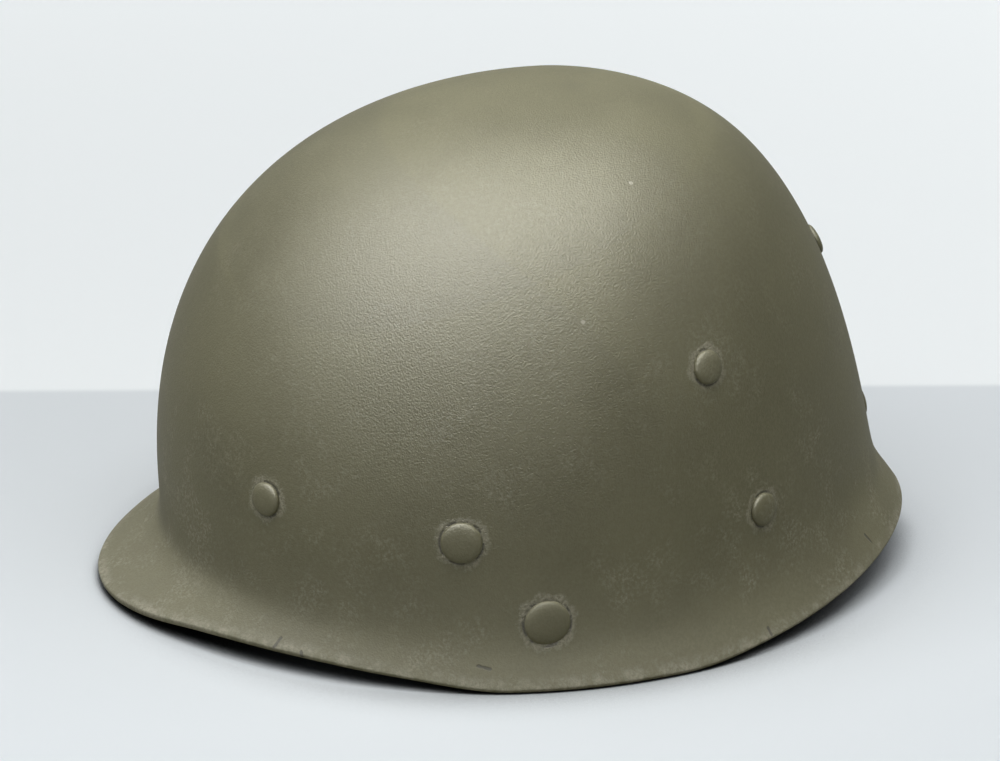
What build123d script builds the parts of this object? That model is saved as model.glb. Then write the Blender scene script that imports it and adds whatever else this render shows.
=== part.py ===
from build123d import *
import os
from math import acos, asin, atan2, cos, exp, hypot, log, pi, sin, sqrt

# Laminated fibre helmet liner, in millimetres.
# X points to the wearer's left, Y to the rear and Z up. Z 0 is the table that the rim stands on.
# A turn is measured round the head from the brow towards the wearer's left ear.

# Dome: how far it reaches from its middle at the foot, and how high
crown_height = 162.7
brow_reach = 114.1
nape_reach = 132.7
side_reach = 108.3
crown_setback = 48.6
middle_advance = 2.1
shell_advance = -0.4
wall = 3.0
brow_round_share = 2.3
side_round_share = 2.8
nape_round_share = 2.81
front_square_share = 2.06
rear_square_share = 1.84
lean_share = 0.166

# Flared skirt: the height where each flare starts, how softly, and its slope
visor_flare_height = 15.2
visor_flare_soft = 1.8
visor_slope_share = 1.63
side_flare_height = 11.6
side_flare_soft = 2.6
side_slope_share = 0.71
nape_flare_height = 30.0
nape_flare_soft = 2.6
nape_slope_share = 0.524
visor_spread_share = 3.0
nape_spread_share = 2.38

# Rim line seen from the side: a flat foot under each ear, raised in front and behind
foot_front = 25.0
foot_rear = 33.0
visor_overhang = 25.7
nape_overhang = 5.2
visor_rise = 5.3
nape_rise = 15.4
visor_rim_shares = ((0.3, 0.64), (0.56, 1.0), (0.78, 0.88), (0.93, 0.36), (1.0, 0.08))
nape_rim_shares = ((0.3, 0.2), (0.6, 0.5), (0.8, 0.75), (1.0, 1.0))
overrun = 20.0

# Sections of the dome, as shares of its height below the crown cap and of its width within it
skirt_height_shares = (-0.5, 0.0, 0.35, 0.62, 0.9, 1.3, 2.1)
dome_height_shares = (0.36, 0.5, 0.63, 0.75, 0.85)
crown_width_shares = (0.66, 0.5, 0.36, 0.22, 0.1)
points_round = 32
step_share = 0.001
halvings = 40

# Rivets of the head suspension: share of a full turn and height of each
front_turn_share = 38.1 / 360
front_rivet_height = 53.3
side_turn_share = 115.1 / 360
side_rivet_height = 94.7
back_rivet_height = 104.0
nape_turn_share = 123.8 / 360
nape_rivet_height = 44.3
rivet_head_radius = 6.1
rivet_head_rise = 2.4
rivet_head_edge = 0.9
rivet_shank_radius = 2.0
rivet_clearance = 0.15
clinch_radius = 3.4
clinch_thickness = 1.0
head_lift = 0.05

# Webbing, washers and leather, counted inwards from the wall
web_seat_gap = 1.7
web_thickness = 1.5
washer_thickness = 0.8
layer_gap = 0.3
band_width = 25.0
band_height = 80.1
band_tilt_share = 0.27
band_tab = 10.0
band_bow_front = 8.0
band_bow_side = 6.0
band_bow_rear = 5.5

# A shaped washers
washer_foot_width = 20.0
washer_head_width = 13.0
washer_drop = 8.0
washer_rise = 12.5
washer_window_margin = 2.8
washer_window_start = 4.8
washer_corner = 2.0
nape_washer_radius = 6.0

# Crown straps and their lace
strap_width = 19.0
strap_drop = 8.0
strap_stand = 24.0
crown_ring_drop = 28.0
crown_ring_advance = 3.8
crown_ring_radius = 30.0
strap_knee_share = 0.52
strap_bend_radius = 17.0
lace_radius = 1.5
lace_clearance = 0.4
lace_bend_radius = 5.0
knot_radius = 3.4
lace_end_length = 13.0

# Leather sweatband and what holds it
leather = 1.8
sweat_width_above = 9.0
sweat_width_below = 27.0
clip_gap = 0.5
clip_thickness = 0.6
clip_width = 9.0
clip_outer_leg = 8.0
clip_inner_leg = 13.0
sweat_buckle_length = 16.0
sweat_buckle_width = 24.0
sweat_buckle_thickness = 1.2
sweat_buckle_bar = 2.6

# Nape strap
nape_web_width = 20.0
nape_tab = 9.5
nape_overlap_share = 0.62
nape_side_share = 0.6
nape_buckle_share = 0.42
nape_buckle_length = 9.0
buckle_clearance = 0.5
buckle_bar = 1.8

# Press stud caps above the rim, with a socket inside
snap_turn_share = 73.2 / 360
snap_height = 48.0
snap_cap_radius = 7.4
snap_cap_rise = 2.5
snap_cap_edge = 1.2
snap_shank_radius = 2.2
snap_base_gap = 0.6
snap_base_thickness = 0.9
snap_wall_radius = 6.5
snap_bore_radius = 4.0
snap_bore_depth = 3.0

# Chinstrap studs and the swinging chinstrap
stud_advance = 13.0
stud_height = 21.0
stud_cap_radius = 8.2
stud_cap_rise = 2.6
stud_cap_edge = 1.3
stud_post_radius = 2.5
stud_washer_radius = 6.0
stud_washer_thickness = 1.0
stud_washer_gap = 0.8
stud_end_radius = 4.2
stud_end_thickness = 1.4
stud_side_gap = 0.4
hook_thickness = 1.2
hook_eye_radius = 6.5
hook_bore_clearance = 0.08
hook_width = 10.0
hook_tongue = 20.0
strap_start = 11.0
strap_inset = 5.0
chin_width = 13.0
chin_reach = 105.0
chin_bend_radius = 84.0
table_gap = 0.6
chin_rivet_radius = 1.3
chin_rivet_head = 2.6
chin_rivet_rise = 0.7
chin_rivet_setback = 6.0
chin_buckle_place = 33.0
chin_buckle_length = 10.0
chin_buckle_bar = 1.6
keeper_place = 38.0
keeper_length = 9.0


def rounded(height, top, power):
    """Share of the foot's reach that is left at a height, on a dome of the given roundness."""
    share = min(max(height / top, 0), 1)
    return max(1 - share**power, 0) ** (1 / power)


def flare(height, start, soft, slope, depth):
    """Outward offset of a flared skirt, whose wall keeps its thickness below the start."""
    start -= depth * (sqrt(1 + slope**2) - 1) / slope
    return slope * soft * log(1 + exp((start - height) / soft))


def signed_power(value, power):
    """A power that keeps the sign of its base."""
    return abs(value) ** power * (1 if value >= 0 else -1)


def skin(turn, height, depth=0):
    """Point of the dome's skin at a turn and a height, on a surface sunk by the depth."""
    top = crown_height - depth
    forward = rounded(height, top, brow_round_share)
    rearward = rounded(height, top, nape_round_share)
    sideways = (side_reach - depth) * rounded(height, top, side_round_share)
    front = -crown_setback + (brow_reach - depth + crown_setback) * forward
    rear = -crown_setback - (nape_reach - depth - crown_setback) * rearward
    rise_share = min(max(height / top, 0), 1) ** 2
    middle = middle_advance - (crown_setback + middle_advance) * rise_share
    ahead = cos(turn) > 0
    square = front_square_share if ahead else rear_square_share
    reach = front - middle if ahead else middle - rear
    along = signed_power(cos(turn), 2 / square)
    across = signed_power(sin(turn), 2 / square)
    normal_along = signed_power(along, square - 1) / reach
    normal_across = signed_power(across, square - 1) / sideways
    size = hypot(normal_along, normal_across)
    normal_along /= size
    normal_across /= size
    visor_part = max(normal_along, 0) ** visor_spread_share
    nape_part = max(-normal_along, 0) ** nape_spread_share
    offset = (
        visor_part * flare(height, visor_flare_height, visor_flare_soft, visor_slope_share, depth)
        + nape_part * flare(height, nape_flare_height, nape_flare_soft, nape_slope_share, depth)
        + (1 - visor_part - nape_part)
        * flare(height, side_flare_height, side_flare_soft, side_slope_share, depth)
    )
    advance = middle + reach * along + lean_share * height + offset * normal_along
    side = sideways * across + offset * normal_across
    return Vector(side, shell_advance - advance, height)


def dome(depth):
    """Solid dome under the skin sunk by the depth, reaching below the rim."""
    top = crown_height - depth
    heights = [visor_flare_height * share for share in skirt_height_shares]
    heights += [top * share for share in dome_height_shares]
    heights += [top * rounded(share, 1, side_round_share) for share in crown_width_shares]
    sections = []
    for height in heights:
        turns = [2 * pi * count / points_round for count in range(points_round)]
        ring = Spline([skin(turn, height, depth) for turn in turns], periodic=True)
        sections.append(Wire([ring]))
    return Solid.make_loft(sections)


def rim_cutter():
    """Everything below the rim line, which is drawn from the side and extruded across."""
    front_start = shell_advance - foot_front
    rear_start = shell_advance + foot_rear
    visor_run = brow_reach + visor_overhang - foot_front
    nape_run = nape_reach + nape_overhang - foot_rear
    visor_line = [(front_start, 0)]
    visor_line += [(front_start - visor_run * run, visor_rise * rise) for run, rise in visor_rim_shares]
    nape_line = [(rear_start, 0)]
    nape_line += [(rear_start + nape_run * run, nape_rise * rise) for run, rise in nape_rim_shares]
    front_end = (visor_line[-1][0] - overrun, visor_line[-1][1])
    rear_end = (nape_line[-1][0] + overrun, nape_line[-1][1])
    outline = [
        Line(visor_line[0], nape_line[0]),
        Spline(nape_line, tangents=[(1, 0), (1, nape_rise / nape_run)]),
        Line(nape_line[-1], rear_end),
        Line(rear_end, (rear_end[0], -2 * overrun)),
        Line((rear_end[0], -2 * overrun), (front_end[0], -2 * overrun)),
        Line((front_end[0], -2 * overrun), front_end),
        Line(front_end, visor_line[-1]),
        Spline(list(reversed(visor_line))),
    ]
    face = Face(Wire(outline))
    return extrude(Plane.YZ * face, side_reach + overrun, both=True)


def seat(turn, height):
    """Plane that touches the outer skin: its Z points outwards and its Y up the wall."""
    step_turn = 2 * pi * step_share
    step_height = crown_height * step_share
    here = skin(turn, height)
    round_way = skin(turn + step_turn, height) - skin(turn - step_turn, height)
    up_way = skin(turn, height + step_height) - skin(turn, height - step_height)
    outward = round_way.cross(up_way).normalized()
    if outward.dot(Vector(here.X, here.Y, 0)) < 0:
        outward = outward * -1
    level = Vector(0, 0, 1).cross(outward).normalized()
    return Plane(origin=here, x_dir=level, z_dir=outward)


def at_depth(place, depth):
    """The same seat, moved inwards along its own axis."""
    return place.offset(-depth)


def both(shape):
    """A piece of the left side and its mirror on the right."""
    return [shape, mirror(shape, about=Plane.YZ)]


def join(pieces):
    """One node from separate solids."""
    solids = []
    for piece in pieces:
        solids += piece.solids()
    return Compound(children=solids)


front_seat = seat(2 * pi * front_turn_share, front_rivet_height)
side_seat = seat(2 * pi * side_turn_share, side_rivet_height)
back_seat = seat(pi, back_rivet_height)
nape_seat = seat(2 * pi * nape_turn_share, nape_rivet_height)
nape_back_seat = seat(pi, nape_rivet_height)
snap_seat = seat(2 * pi * snap_turn_share, snap_height)

def stud_turn():
    """Turn at which the skin passes the stud's place."""
    low, high = pi / 4, pi * 3 / 4
    for _ in range(halvings):
        turn = (low + high) / 2
        if skin(turn, stud_height).Y < shell_advance - stud_advance:
            low = turn
        else:
            high = turn
    return turn


stud_place = skin(stud_turn(), stud_height)
stud_seat = Plane(origin=stud_place, x_dir=(0, 1, 0), z_dir=(1, 0, 0))

head_depth = wall + web_seat_gap
strap_depth = head_depth + web_thickness
washer_depth = strap_depth + web_thickness
clinch_depth = washer_depth + washer_thickness
sweat_depth = clinch_depth + clinch_thickness + 2 * layer_gap
nape_washer_depth = head_depth + web_thickness
nape_clinch_depth = nape_washer_depth + washer_thickness


def rivet(radius, rise, edge, shank, length, end_radius, end_thickness):
    """Domed head on a shank whose inner end is spread, with its axis on Z."""
    crown = rise - edge
    ball = (radius**2 + crown**2) / (2 * crown)
    solid = Pos(0, 0, (rise + head_lift) / 2) * Cylinder(radius, rise - head_lift)
    solid = solid & Pos(0, 0, rise - ball) * Sphere(ball)
    solid += Pos(0, 0, (head_lift - length) / 2) * Cylinder(shank, length + head_lift)
    return solid + Pos(0, 0, -length - end_thickness / 2) * Cylinder(end_radius, end_thickness)


def hole(place, radius):
    """Drill along a seat's axis, through everything under it."""
    return place * Cylinder(radius, 2 * overrun)


def shell():
    """The laminated dome with its flared, trimmed rim and the holes of its rivets."""
    body = dome(0) - dome(wall) - rim_cutter()
    for place in (front_seat, side_seat, nape_seat):
        body = body - both(hole(place, rivet_shank_radius + rivet_clearance))
    for place in (back_seat, nape_back_seat):
        body = body - hole(place, rivet_shank_radius + rivet_clearance)
    body = body - both(hole(snap_seat, snap_shank_radius + rivet_clearance))
    body = body - both(hole(stud_seat, stud_post_radius + rivet_clearance))
    spot = stud_seat * Pos(0, 0, overrun / 2) * Cylinder(stud_cap_radius + rivet_clearance, overrun)
    return body - both(spot)


def suspension_rivets():
    """Five rivets that hold the head suspension."""
    one = rivet(
        rivet_head_radius, rivet_head_rise, rivet_head_edge,
        rivet_shank_radius, clinch_depth, clinch_radius, clinch_thickness,
    )
    return join(both(front_seat * one) + both(side_seat * one) + [back_seat * one])


def nape_rivets():
    """Three rivets that hold the nape strap."""
    one = rivet(
        rivet_head_radius, rivet_head_rise, rivet_head_edge,
        rivet_shank_radius, nape_clinch_depth, clinch_radius, clinch_thickness,
    )
    return join(both(nape_seat * one) + [nape_back_seat * one])


def washer_plate():
    """A shaped plate with a window above its rivet hole, flat on Z 0 and thick inwards."""
    outline = Polyline(
        (-washer_foot_width / 2, -washer_drop),
        (washer_foot_width / 2, -washer_drop),
        (washer_head_width / 2, washer_rise),
        (-washer_head_width / 2, washer_rise),
        close=True,
    )
    plate = fillet(make_face(outline).vertices(), washer_corner)
    taper = (washer_foot_width - washer_head_width) / 2 / (washer_rise + washer_drop)
    low_half = washer_foot_width / 2 - taper * (washer_window_start + washer_drop) - washer_window_margin
    high = washer_rise - washer_window_margin
    high_half = washer_foot_width / 2 - taper * (high + washer_drop) - washer_window_margin
    window = Polyline(
        (-low_half, washer_window_start),
        (low_half, washer_window_start),
        (high_half, high),
        (-high_half, high),
        close=True,
    )
    plate = plate - make_face(window) - Circle(rivet_shank_radius + rivet_clearance)
    return extrude(plate, -washer_thickness)


def suspension_washers():
    """Five A shaped washers under the rivets of the head suspension."""
    one = washer_plate()
    pieces = []
    for place in (front_seat, side_seat):
        pieces += both(at_depth(place, washer_depth) * one)
    pieces.append(at_depth(back_seat, washer_depth) * one)
    return join(pieces)


def nape_washers():
    """Three round washers under the nape rivets."""
    face = Circle(nape_washer_radius) - Circle(rivet_shank_radius + rivet_clearance)
    one = extrude(face, -washer_thickness)
    pieces = both(at_depth(nape_seat, nape_washer_depth) * one)
    pieces.append(at_depth(nape_back_seat, nape_washer_depth) * one)
    return join(pieces)


def mirrored(point):
    """The same point on the wearer's right."""
    return Vector(-point.X, point.Y, point.Z)


def corner(place, level_plane, level, depth):
    """Where a band at a depth under a seat crosses a level of the band's plane, and its way there."""
    start = place.origin - place.z_dir * depth
    rise = level - (start - level_plane.origin).dot(level_plane.z_dir)
    point = start + place.y_dir * (rise / place.y_dir.dot(level_plane.z_dir))
    way = level_plane.z_dir.cross(place.z_dir).normalized()
    return point, way


band_plane = Plane(
    origin=(0, shell_advance, band_height), x_dir=(1, 0, 0), z_dir=(0, -band_tilt_share, 1)
)


def band_tabs(depth, level, half):
    """Ends of the band's flat tabs in the order front left, side left, back, side right, front right."""
    front, front_way = corner(front_seat, band_plane, level, depth)
    side, side_way = corner(side_seat, band_plane, level, depth)
    back, back_way = corner(back_seat, band_plane, level, depth)
    left = [
        (front - front_way * half, front + front_way * half),
        (side - side_way * half, side + side_way * half),
    ]
    right = [(mirrored(end), mirrored(start)) for start, end in reversed(left)]
    return left + [(back - back_way * half, back + back_way * half)] + right


band_bows = (band_bow_side, band_bow_rear, band_bow_rear, band_bow_side, band_bow_front)


def bow_chord(count, level):
    """Ends of the web band's outer face between one tab and the next."""
    tabs = band_tabs(head_depth, level, band_tab)
    return tabs[count][1], tabs[(count + 1) % len(tabs)][0]


def bow_middle(count, depth, level):
    """Middle of one bow, which stands out from its chord, on a face at a depth."""
    start, end = bow_chord(count, level)
    outward = (end - start).cross(band_plane.z_dir).normalized()
    return (start + end) / 2 + outward * (band_bows[count] - depth + head_depth)


def band_wire(depth, level):
    """Closed line of the web headband: flat at each rivet and bowed between them."""
    tabs = band_tabs(depth, level, band_tab)
    edges = []
    for count, (start, end) in enumerate(tabs):
        after = tabs[(count + 1) % len(tabs)][0]
        edges.append(Edge.make_line(start, end))
        edges.append(Edge.make_three_point_arc(end, bow_middle(count, depth, level), after))
    return Wire(edges)


def headband():
    """Web band round the head, riveted at the five tabs."""
    half = band_width / 2
    outer = Solid.make_loft([band_wire(head_depth, -half), band_wire(head_depth, half)], ruled=True)
    reach = half + layer_gap
    inner_depth = head_depth + web_thickness
    inner = Solid.make_loft([band_wire(inner_depth, -reach), band_wire(inner_depth, reach)], ruled=True)
    body = outer - inner
    for place in (front_seat, side_seat):
        body = body - both(hole(place, rivet_shank_radius + rivet_clearance))
    return body - hole(back_seat, rivet_shank_radius + rivet_clearance)


bow_sweat_depth = head_depth + web_thickness + 2 * clip_gap + clip_thickness


def corner_way(count, level):
    """Direction of the web band through one of its tabs."""
    start, end = band_tabs(head_depth, level, band_tab)[count]
    return (end - start).normalized()


def sweat_wire(sink, level):
    """Closed smooth line of the sweatband, just inside the washers and the clips."""
    points = []
    ways = []
    for count, (point, _) in enumerate(band_tabs(sweat_depth + sink, level, 0)):
        start, end = bow_chord(count, level)
        points += [point, bow_middle(count, bow_sweat_depth + sink, level)]
        ways += [corner_way(count, level), (end - start).normalized()]
    return Wire([Edge.make_spline(points, tangents=ways, periodic=True)])


def sweatband():
    """Leather band that lies on the brow, hung inside the web band."""
    low, high = -sweat_width_below, sweat_width_above
    outer = Solid.make_loft([sweat_wire(0, low), sweat_wire(0, high)], ruled=True)
    low -= layer_gap
    high += layer_gap
    inner = Solid.make_loft([sweat_wire(leather, low), sweat_wire(leather, high)], ruled=True)
    return outer - inner


def bow_frame(count, depth, level):
    """Frame on a band's wall at the middle of a bow: X along it, Y up it and Z outwards."""
    start, end = bow_chord(count, level)
    along = end - start
    middle = bow_middle(count, depth, level)
    up = bow_middle(count, depth, level + band_width) - middle
    return Plane(origin=middle, x_dir=along, z_dir=along.cross(up))


def sweatband_clips():
    """Spring clips over the top of the web band, one at each bow."""
    inner = -web_thickness - clip_gap
    shape = Polyline(
        (clip_gap, -clip_outer_leg),
        (clip_gap + clip_thickness, -clip_outer_leg),
        (clip_gap + clip_thickness, clip_gap + clip_thickness),
        (inner - clip_thickness, clip_gap + clip_thickness),
        (inner - clip_thickness, -clip_inner_leg),
        (inner, -clip_inner_leg),
        (inner, clip_gap),
        (clip_gap, clip_gap),
        close=True,
    )
    face = make_face(shape)
    pieces = []
    for count in range(len(band_bows)):
        frame = bow_frame(count, head_depth, band_width / 2)
        side_view = Plane(origin=frame.origin, x_dir=frame.z_dir, z_dir=frame.z_dir.cross(frame.y_dir))
        pieces.append(extrude(side_view * face, clip_width / 2, both=True))
    return join(pieces)


def frame_ring(length, opening_width, opening_height, bar):
    """Open rectangular ring that strap passes along X, with its width on Y and thickness on Z."""
    outer = Box(length, opening_width + 2 * bar, opening_height + 2 * bar)
    return outer - Box(2 * length, opening_width, opening_height)


crown_ring_height = crown_height - crown_ring_drop


def crown_strap(place):
    """Strap from a rivet up the wall and over to the lace, with a sewn loop at its end."""
    inward = Vector(-place.z_dir.X, -place.z_dir.Y, 0).normalized()
    across = inward.cross(Vector(0, 0, 1))
    side_view = Plane(origin=(place.origin.X, place.origin.Y, 0), x_dir=inward, z_dir=across)
    depth = strap_depth + web_thickness / 2
    middle = side_view.to_local_coords(place.origin - place.z_dir * depth)
    up = side_view.to_local_coords(place.origin + place.y_dir) - side_view.to_local_coords(place.origin)
    up = Vector(up.X, up.Y, 0).normalized()
    foot = Vector(middle.X, middle.Y, 0) - up * strap_drop
    stand = Vector(middle.X, middle.Y, 0) + up * strap_stand
    centre = Vector(0, shell_advance - crown_ring_advance, 0)
    run = side_view.to_local_coords(centre).X - crown_ring_radius
    knee = Vector(stand.X + (run - stand.X) * strap_knee_share, crown_ring_height, 0)
    end = Vector(run, crown_ring_height, 0)
    path = FilletPolyline(foot, stand, knee, end, radius=strap_bend_radius)
    ribbon = trace(path, web_thickness)
    loop_inner = lace_radius + lace_clearance
    loop_middle = loop_inner + web_thickness / 2
    loop_at = Pos(run, crown_ring_height - loop_middle)
    ribbon = ribbon + loop_at * (Circle(loop_inner + web_thickness)) - loop_at * Circle(loop_inner)
    body = extrude(side_view * ribbon, strap_width / 2, both=True)
    return body - hole(place, rivet_shank_radius + rivet_clearance)


def crown_lace():
    """Lace through the five loops, drawn up and knotted in front."""
    centre = Vector(0, shell_advance - crown_ring_advance, 0)
    ways = []
    for place in (front_seat, side_seat, back_seat):
        ways.append(Vector(place.z_dir.X, place.z_dir.Y, 0).normalized())
    ways += [mirrored(ways[1]), mirrored(ways[0])]
    level = crown_ring_height - lace_radius - lace_clearance - web_thickness / 2
    corners = []
    for one, two in zip(ways, ways[1:] + ways[:1]):
        turn = one.X * two.Y - one.Y * two.X
        corners.append(
            centre
            + Vector(two.Y - one.Y, one.X - two.X, 0) * (crown_ring_radius / turn)
            + Vector(0, 0, level)
        )
    path = FilletPolyline(corners, radius=lace_bend_radius, close=True)
    start = path @ 0
    section = Plane(origin=start, z_dir=path % 0) * Circle(lace_radius)
    body = sweep(section, path)
    front_corner = corners[-1]
    knot_at = Vector(0, front_corner.Y + knot_radius, level)
    body += Plane(origin=knot_at, x_dir=(0, 1, 0)) * Sphere(knot_radius)
    for lean in (-1, 1):
        way = Vector(lean * lace_end_length / 2, -lace_end_length, -lace_end_length / 2)
        tail = Plane(origin=knot_at + way / 2, z_dir=way)
        body += tail * Cylinder(lace_radius, way.length)
    return body


def strip(low_outer, low_inner, high_outer, high_inner):
    """Flat web between two levels, from its outer and inner points at each."""
    sections = []
    for outer, inner in ((low_outer, low_inner), (high_outer, high_inner)):
        points = outer + list(reversed(inner))
        sections.append(Wire.make_polygon(points, close=True))
    return Solid.make_loft(sections, ruled=True)


nape_plane = Plane(origin=(0, 0, nape_rivet_height))


def nape_ends(depth, level):
    """Facing ends of the side tab and of the back tab at a depth and a level."""
    side, side_way = corner(nape_seat, nape_plane, level, depth)
    back, back_way = corner(nape_back_seat, nape_plane, level, depth)
    return side - side_way * nape_tab, side + side_way * nape_tab, back - back_way * nape_tab


layer = web_thickness + layer_gap


def centre_points(depth, level):
    """Line of the middle nape web at one level, from its left end to its right end."""
    back_end = nape_ends(depth, level)[2]
    side_end = nape_ends(depth + layer, level)[1]
    left = [back_end + (side_end - back_end) * nape_overlap_share, back_end]
    return left + [mirrored(point) for point in reversed(left)]


def side_points(depth, level):
    """Line of the left nape web at one level, from its rivet tab to its free end."""
    start, side_end, _ = nape_ends(depth, level)
    back_end = nape_ends(depth - layer, level)[2]
    return [start, side_end, side_end + (back_end - side_end) * nape_side_share]


def nape_web(points):
    """Nape web from a function that gives its line at a depth and a level."""
    half = nape_web_width / 2
    inner = head_depth + web_thickness
    return strip(
        points(head_depth, -half), points(inner, -half), points(head_depth, half), points(inner, half)
    )


def nape_strap_centre():
    """Middle web of the nape strap, riveted at the back."""
    return nape_web(centre_points) - hole(nape_back_seat, rivet_shank_radius + rivet_clearance)


def nape_strap_left():
    """Left web of the nape strap, riveted behind the ear."""
    return nape_web(side_points) - hole(nape_seat, rivet_shank_radius + rivet_clearance)


def nape_buckle_left():
    """Slide buckle round both webs of the nape strap."""
    half = nape_web_width / 2
    low, high, far = [], [], []
    for points, level in ((low, -half), (high, half)):
        outer = nape_ends(head_depth - layer / 2 + web_thickness / 2, level)[2]
        side_end = nape_ends(head_depth + layer / 2 + web_thickness / 2, level)[1]
        points.append(outer + (side_end - outer) * nape_buckle_share)
        far.append(side_end)
    middle = (low[0] + high[0]) / 2
    along = ((far[0] + far[1]) / 2 - middle).normalized()
    outward = along.cross(high[0] - low[0]).normalized()
    place = Plane(origin=middle, x_dir=along, z_dir=outward)
    opening = 2 * web_thickness + layer_gap + 2 * buckle_clearance
    ring = frame_ring(nape_buckle_length, nape_web_width + 2 * buckle_clearance, opening, buckle_bar)
    return place * ring


def sweatband_buckle():
    """Slide buckle on the inner face of the sweatband, behind the left ear."""
    depth = bow_sweat_depth + leather + 2 * layer_gap + sweat_buckle_thickness / 2
    place = bow_frame(1, depth, (sweat_width_above - sweat_width_below) / 2)
    plate = Box(sweat_buckle_length, sweat_buckle_width, sweat_buckle_thickness)
    window_length = (sweat_buckle_length - 3 * sweat_buckle_bar) / 2
    window = Box(window_length, sweat_buckle_width - 2 * sweat_buckle_bar, 2 * sweat_buckle_thickness)
    shift = (window_length + sweat_buckle_bar) / 2
    return place * (plate - Pos(shift, 0, 0) * window - Pos(-shift, 0, 0) * window)


socket_depth = wall + snap_base_gap
clinch_top = socket_depth + snap_base_thickness


def snap_caps():
    """Painted caps of the press studs on both sides, clinched inside their sockets."""
    one = rivet(
        snap_cap_radius, snap_cap_rise, snap_cap_edge,
        snap_shank_radius, clinch_top, clinch_radius, washer_thickness,
    )
    return join(both(snap_seat * one))


def snap_sockets():
    """Sockets inside the shell: a base, a collar round the cap's clinch and a ring round the bore."""
    one = None
    top = 0
    layers = (
        (snap_shank_radius + rivet_clearance, snap_base_thickness),
        (clinch_radius + rivet_clearance, washer_thickness),
        (snap_bore_radius, snap_bore_depth),
    )
    for opening_radius, thickness in layers:
        ring = Pos(0, 0, -top) * (Circle(snap_wall_radius) - Circle(opening_radius))
        layer_ring = extrude(ring, -thickness)
        one = layer_ring if one is None else one + layer_ring
        top += thickness
    return join(both(at_depth(snap_seat, socket_depth) * one))


washer_side = wall + stud_washer_gap
hook_side = washer_side + stud_washer_thickness + stud_side_gap
stud_end_side = hook_side + hook_thickness + stud_side_gap


def chinstrap_studs():
    """Painted caps low on both sides, each with a post that the chinstrap's hook turns on."""
    one = rivet(
        stud_cap_radius, stud_cap_rise, stud_cap_edge,
        stud_post_radius, stud_end_side, stud_end_radius, stud_end_thickness,
    )
    return join(both(stud_seat * one))


def stud_washers():
    """Washers between the wall and the chinstrap's hooks."""
    face = Circle(stud_washer_radius) - Circle(stud_post_radius + rivet_clearance)
    one = extrude(face, -stud_washer_thickness)
    return join(both(at_depth(stud_seat, washer_side) * one))


# The chinstrap lies in a plane through both posts, laid back inside the rim.
# In that plane X is across and Y is the distance from the posts.
droop = asin((stud_height - chin_width / 2 - table_gap) / chin_reach)
chin_plane = Plane(
    origin=(0, stud_place.Y, stud_height), x_dir=(1, 0, 0), z_dir=(0, sin(droop), cos(droop))
)
hook_across = stud_place.X - hook_side - hook_thickness / 2
leg_start = Vector(stud_place.X - hook_side - strap_inset, strap_start)
bend_centre = Vector(0, chin_reach - chin_bend_radius)
span = leg_start - bend_centre
bend_turn = atan2(span.Y, span.X) + acos(chin_bend_radius / span.length)
bend_way = Vector(cos(bend_turn), sin(bend_turn))
leg_end = bend_centre + bend_way * chin_bend_radius
leg_way = (leg_end - leg_start).normalized()


def leg_plane(place, sink=0):
    """Frame on the left leg: X along the strap, Z outwards, at a distance from its start."""
    local = leg_start + leg_way * place - bend_way * sink
    origin = chin_plane.from_local_coords(local)
    along = chin_plane.from_local_coords(local + leg_way) - origin
    outward = chin_plane.from_local_coords(local + bend_way) - origin
    return Plane(origin=origin, x_dir=along, z_dir=outward)


def chin_rivet_hole():
    """Drill for the rivet at the strap's end."""
    return leg_plane(chin_rivet_setback) * Cylinder(chin_rivet_radius, overrun)


def chinstrap():
    """Leather strap in one run from hook to hook, round the back of the opening at rest."""
    outlines = []
    for offset in (leather / 2, -leather / 2):
        start = leg_start + bend_way * offset
        end = leg_end + bend_way * offset
        top = bend_centre + Vector(0, chin_bend_radius + offset)
        outlines.append((start, end, top))
    (outer_start, outer_end, outer_top), (inner_start, inner_end, inner_top) = outlines
    edges = [
        Line(outer_start, outer_end),
        ThreePointArc(outer_end, outer_top, mirrored(outer_end)),
        Line(mirrored(outer_end), mirrored(outer_start)),
        Line(mirrored(outer_start), mirrored(inner_start)),
        Line(mirrored(inner_start), mirrored(inner_end)),
        ThreePointArc(mirrored(inner_end), inner_top, inner_end),
        Line(inner_end, inner_start),
        Line(inner_start, outer_start),
    ]
    face = Face(Wire(edges))
    body = extrude(chin_plane * face, chin_width / 2, both=True)
    return body - both(chin_rivet_hole())


def chinstrap_hooks():
    """Steel ends of the chinstrap: an eye on each post and a bent tongue on the leather."""
    tongue_offset = (leather + hook_thickness) / 2
    tongue_start = leg_start + bend_way * tongue_offset
    back = (hook_across - tongue_start.X) / leg_way.X
    knee = tongue_start + leg_way * back
    root = Vector(hook_across, 0)
    tip = knee + leg_way * hook_tongue
    ribbon = trace(Polyline(root, knee, tip), hook_thickness)
    body = extrude(chin_plane * ribbon, hook_width / 2, both=True)
    eye_plane = Plane(
        origin=chin_plane.from_local_coords(root), x_dir=(0, 1, 0), z_dir=(1, 0, 0)
    )
    body += eye_plane * Cylinder(hook_eye_radius, hook_thickness)
    body -= eye_plane * Cylinder(stud_post_radius + hook_bore_clearance, overrun)
    body -= chin_rivet_hole()
    return join(both(body))


def chinstrap_rivets():
    """Small rivets through hook and leather."""
    outside = leather / 2 + hook_thickness
    length = leather + hook_thickness
    shank = Pos(0, 0, outside - length / 2) * Cylinder(chin_rivet_radius - layer_gap / 4, length)
    head = Pos(0, 0, outside + chin_rivet_rise / 2) * Cylinder(chin_rivet_head, chin_rivet_rise)
    foot = Pos(0, 0, -leather / 2 - chin_rivet_rise / 2) * Cylinder(chin_rivet_head, chin_rivet_rise)
    one = leg_plane(chin_rivet_setback) * (shank + head + foot)
    return join(both(one))


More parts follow.
